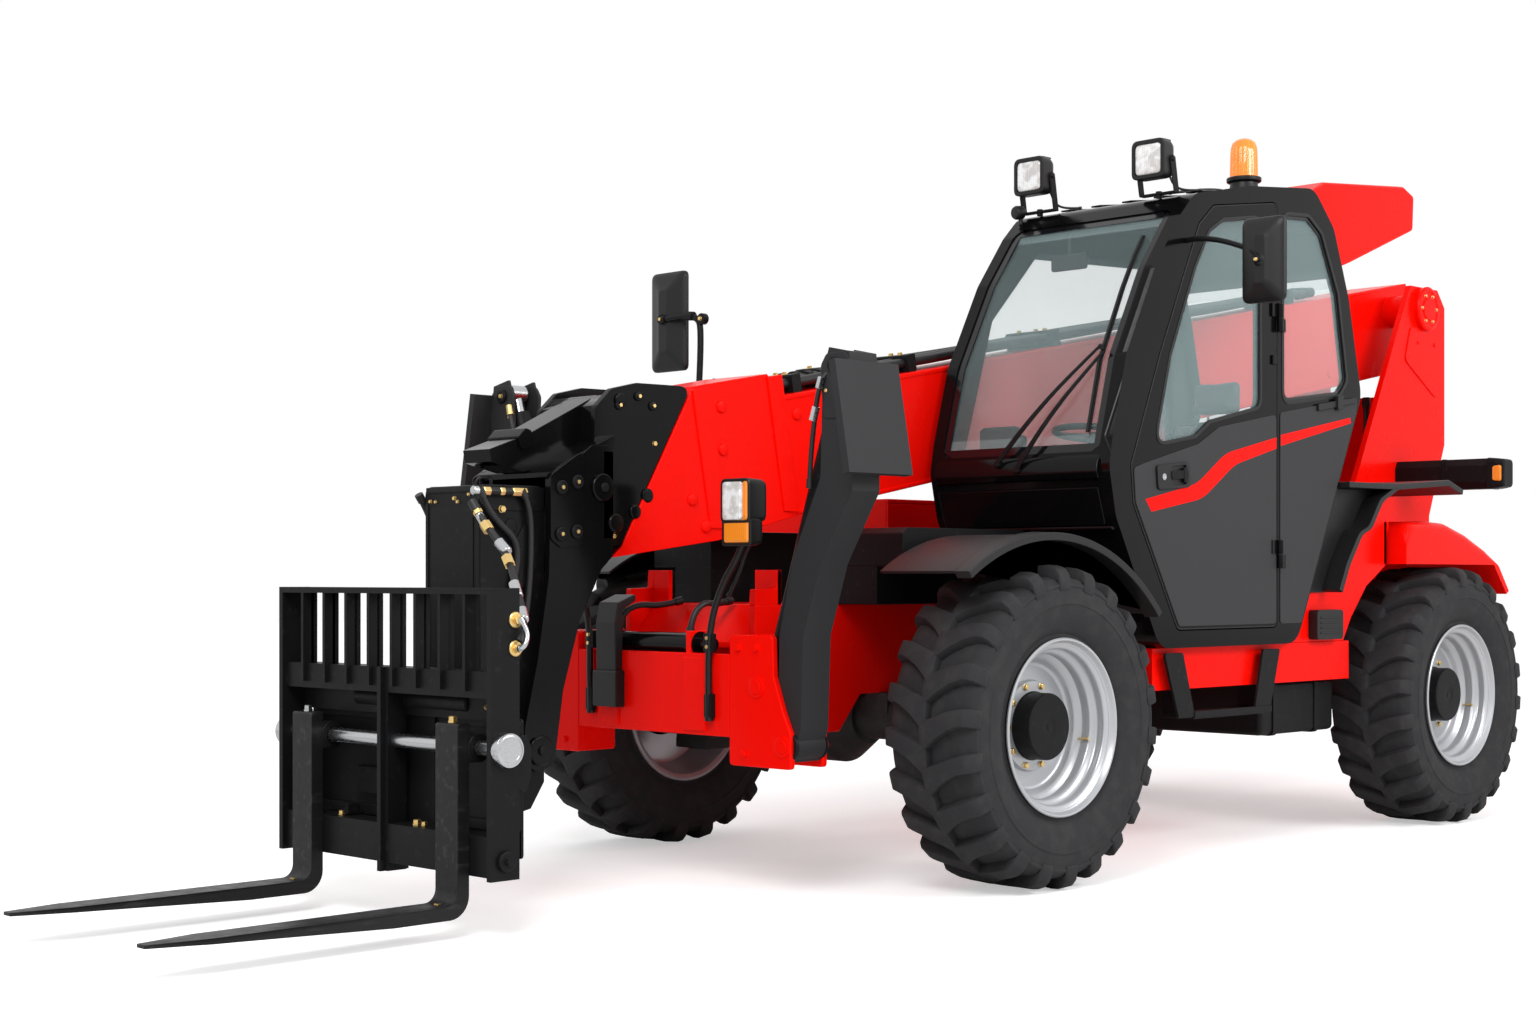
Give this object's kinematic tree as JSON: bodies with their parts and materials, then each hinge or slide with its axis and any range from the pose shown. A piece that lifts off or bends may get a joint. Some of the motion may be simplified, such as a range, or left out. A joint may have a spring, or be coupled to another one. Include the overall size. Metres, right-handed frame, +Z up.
{
  "type": "telehandler",
  "caption": "Four-wheel telescopic handler with side cab, three-stage boom, fork carriage and two front stabilisers; wheels, boom, forks, legs, door and hood move.",
  "frame": {"origin": "on the ground under the middle of the machine's length and width, forks included", "axes": "+X forwards towards the fork tips, +Y to the machine's left, +Z up"},
  "size_m": [7.8999, 3.2, 3.065],
  "materials": {
    "amber": "amber lens",
    "black_paint": "gloss black paint",
    "glass": "pale tinted glass",
    "grey_panel": "satin dark grey paint",
    "iron": "black painted castings",
    "plastic": "black moulded plastic",
    "red_paint": "gloss red paint",
    "seat": "dark upholstery",
    "silver_rim": "satin silver paint",
    "steel": "ground steel",
    "tyre": "moulded rubber"
  },
  "bodies": {
    "machine": {"chassis_frame": "red_paint", "boom_tower": "red_paint", "front_beam": "red_paint", "rear_counterweight": "red_paint", "side_platforms": "red_paint", "fuel_tank": "plastic", "cab_step": "black_paint", "axle_front": "iron", "axle_rear": "iron", "cab_shell": "black_paint", "cab_glass": "glass", "roof_cowl": "red_paint", "operator_seat": "seat", "steering_column": "plastic", "engine_block": "iron", "front_fenders": "plastic", "rear_fenders": "red_paint", "rear_guards": "plastic", "headlamps": "plastic", "roof_lamps": "plastic", "beacon": "amber", "rear_lamps": "black_paint", "mirror_left": "plastic", "mirror_right": "plastic"},
    "knuckle_fl": {"knuckle_fl": "iron"},
    "wheel_fl": {"tyre_fl": "tyre", "rim_fl": "silver_rim"},
    "knuckle_fr": {"knuckle_fr": "iron"},
    "wheel_fr": {"tyre_fr": "tyre", "rim_fr": "silver_rim"},
    "knuckle_rl": {"knuckle_rl": "iron"},
    "wheel_rl": {"tyre_rl": "tyre", "rim_rl": "silver_rim"},
    "knuckle_rr": {"knuckle_rr": "iron"},
    "wheel_rr": {"tyre_rr": "tyre", "rim_rr": "silver_rim"},
    "boom_outer": {"boom_outer": "red_paint", "boom_hoses": "plastic"},
    "boom_mid": {"boom_mid": "red_paint"},
    "boom_inner": {"boom_inner": "red_paint", "boom_head": "black_paint"},
    "lift_barrel": {"lift_barrel": "black_paint"},
    "lift_rod": {"lift_rod": "steel"},
    "tilt_barrel": {"tilt_barrel": "black_paint"},
    "tilt_rod": {"tilt_rod": "steel"},
    "carriage": {"hitch_frame": "black_paint", "fork_carriage": "black_paint", "fork_shaft": "steel"},
    "fork_left": {"fork_left": "black_paint"},
    "fork_right": {"fork_right": "black_paint"},
    "door": {"cab_door": "grey_panel", "door_glass": "glass"},
    "hood": {"engine_hood": "red_paint"},
    "steering_wheel": {"steering_wheel": "plastic"},
    "leg_left": {"leg_left": "black_paint"},
    "leg_barrel_left": {"leg_barrel_left": "black_paint"},
    "leg_rod_left": {"leg_rod_left": "steel"},
    "leg_right": {"leg_right": "black_paint"},
    "leg_barrel_right": {"leg_barrel_right": "black_paint"},
    "leg_rod_right": {"leg_rod_right": "steel"}
  },
  "joints": [
    {"name": "steer_fl", "type": "hinge", "parent": "machine", "child": "knuckle_fl", "pos_m": [0.65, 0.82, 0.6], "axis": [0, 0, 1], "range_deg": [-35, 35]},
    {"name": "spin_fl", "type": "hinge", "parent": "knuckle_fl", "child": "wheel_fl", "pos_m": [0.65, 1.01, 0.6], "axis": [0, 1, 0], "continuous": true},
    {"name": "steer_fr", "type": "hinge", "parent": "machine", "child": "knuckle_fr", "pos_m": [0.65, -0.82, 0.6], "axis": [0, 0, 1], "range_deg": [-35, 35]},
    {"name": "spin_fr", "type": "hinge", "parent": "knuckle_fr", "child": "wheel_fr", "pos_m": [0.65, -1.01, 0.6], "axis": [0, 1, 0], "continuous": true},
    {"name": "steer_rl", "type": "hinge", "parent": "machine", "child": "knuckle_rl", "pos_m": [-2.42, 0.82, 0.6], "axis": [0, 0, 1], "range_deg": [-35, 35]},
    {"name": "spin_rl", "type": "hinge", "parent": "knuckle_rl", "child": "wheel_rl", "pos_m": [-2.42, 1.01, 0.6], "axis": [0, 1, 0], "continuous": true},
    {"name": "steer_rr", "type": "hinge", "parent": "machine", "child": "knuckle_rr", "pos_m": [-2.42, -0.82, 0.6], "axis": [0, 0, 1], "range_deg": [-35, 35]},
    {"name": "spin_rr", "type": "hinge", "parent": "knuckle_rr", "child": "wheel_rr", "pos_m": [-2.42, -1.01, 0.6], "axis": [0, 1, 0], "continuous": true},
    {"name": "boom_lift", "type": "hinge", "parent": "machine", "child": "boom_outer", "pos_m": [-3.62, 0, 2.585], "axis": [0, -1, 0], "range_deg": [0, 75]},
    {"name": "boom_extend", "type": "slide", "parent": "boom_outer", "child": "boom_mid", "axis": [0.9833, 0, -0.1822], "range_m": [0, 3.6]},
    {"name": "boom_extend_inner", "type": "slide", "parent": "boom_mid", "child": "boom_inner", "axis": [0.9833, 0, -0.1822], "range_m": [0, 3.6]},
    {"name": "carriage_tilt", "type": "hinge", "parent": "boom_inner", "child": "carriage", "pos_m": [2.33, 0, 0.556], "axis": [0, 1, 0], "range_deg": [-12, 100]},
    {"name": "fork_left_slide", "type": "slide", "parent": "carriage", "child": "fork_left", "axis": [0, 1, 0], "range_m": [-0.28, 0.1]},
    {"name": "fork_right_slide", "type": "slide", "parent": "carriage", "child": "fork_right", "axis": [0, 1, 0], "range_m": [-0.1, 0.28]},
    {"name": "lift_cylinder", "type": "hinge", "parent": "machine", "child": "lift_barrel", "pos_m": [-3.3, 0, 0.72], "axis": [0, -1, 0], "range_deg": [0, 43.01]},
    {"name": "lift_ram", "type": "slide", "parent": "lift_barrel", "child": "lift_rod", "axis": [0.8471, 0, 0.5315], "range_m": [0, 1.7284]},
    {"name": "tilt_cylinder", "type": "hinge", "parent": "boom_inner", "child": "tilt_barrel", "pos_m": [2.05, 0, 1.47], "axis": [0, -1, 0], "range_deg": [-1.23, 10.2]},
    {"name": "tilt_ram", "type": "slide", "parent": "tilt_barrel", "child": "tilt_rod", "axis": [0.3372, 0, -0.9414], "range_m": [-0.042, 0.3466]},
    {"name": "stabiliser_left", "type": "hinge", "parent": "machine", "child": "leg_left", "pos_m": [1.525, 0.69, 0.555], "axis": [-1, 0, 0], "range_deg": [0, 100]},
    {"name": "leg_cylinder_left", "type": "hinge", "parent": "machine", "child": "leg_barrel_left", "pos_m": [1.525, 0.56, 0.76], "axis": [-1, 0, 0], "range_deg": [0, 97.56]},
    {"name": "leg_ram_left", "type": "slide", "parent": "leg_barrel_left", "child": "leg_rod_left", "axis": [0, 0.3087, 0.9512], "range_m": [0, 0.3678]},
    {"name": "stabiliser_right", "type": "hinge", "parent": "machine", "child": "leg_right", "pos_m": [1.525, -0.69, 0.555], "axis": [1, 0, 0], "range_deg": [0, 100]},
    {"name": "leg_cylinder_right", "type": "hinge", "parent": "machine", "child": "leg_barrel_right", "pos_m": [1.525, -0.56, 0.76], "axis": [1, 0, 0], "range_deg": [0, 97.56]},
    {"name": "leg_ram_right", "type": "slide", "parent": "leg_barrel_right", "child": "leg_rod_right", "axis": [0, -0.3087, 0.9512], "range_m": [0, 0.3678]},
    {"name": "door_hinge", "type": "hinge", "parent": "machine", "child": "door", "pos_m": [-0.953, 1.114, 1.8], "axis": [0, 0, 1], "range_deg": [0, 110]},
    {"name": "hood_hinge", "type": "hinge", "parent": "machine", "child": "hood", "pos_m": [-0.85, -0.35, 1.5], "axis": [-1, 0, 0], "range_deg": [0, 55]},
    {"name": "steering_wheel_turn", "type": "hinge", "parent": "machine", "child": "steering_wheel", "pos_m": [-0.3, 0.65, 1.75], "axis": [-0.1191, 0, 0.9929], "continuous": true}
  ],
  "couplings": [
    {"joint": "steer_fr", "follows": "steer_fl", "ratio": 1},
    {"joint": "steer_rr", "follows": "steer_rl", "ratio": 1},
    {"joint": "boom_extend_inner", "follows": "boom_extend", "ratio": 1},
    {"joint": "lift_cylinder", "follows": "boom_lift", "ratio": 0.57328},
    {"joint": "lift_ram", "follows": "boom_lift", "m_per_rad": 1.32},
    {"joint": "tilt_cylinder", "follows": "carriage_tilt", "ratio": 0.1019},
    {"joint": "tilt_ram", "follows": "carriage_tilt", "m_per_rad": 0.19828},
    {"joint": "leg_cylinder_left", "follows": "stabiliser_left", "ratio": 0.97552},
    {"joint": "leg_ram_left", "follows": "stabiliser_left", "m_per_rad": 0.21043},
    {"joint": "leg_cylinder_right", "follows": "stabiliser_right", "ratio": 0.97552},
    {"joint": "leg_ram_right", "follows": "stabiliser_right", "m_per_rad": 0.21043}
  ]
}
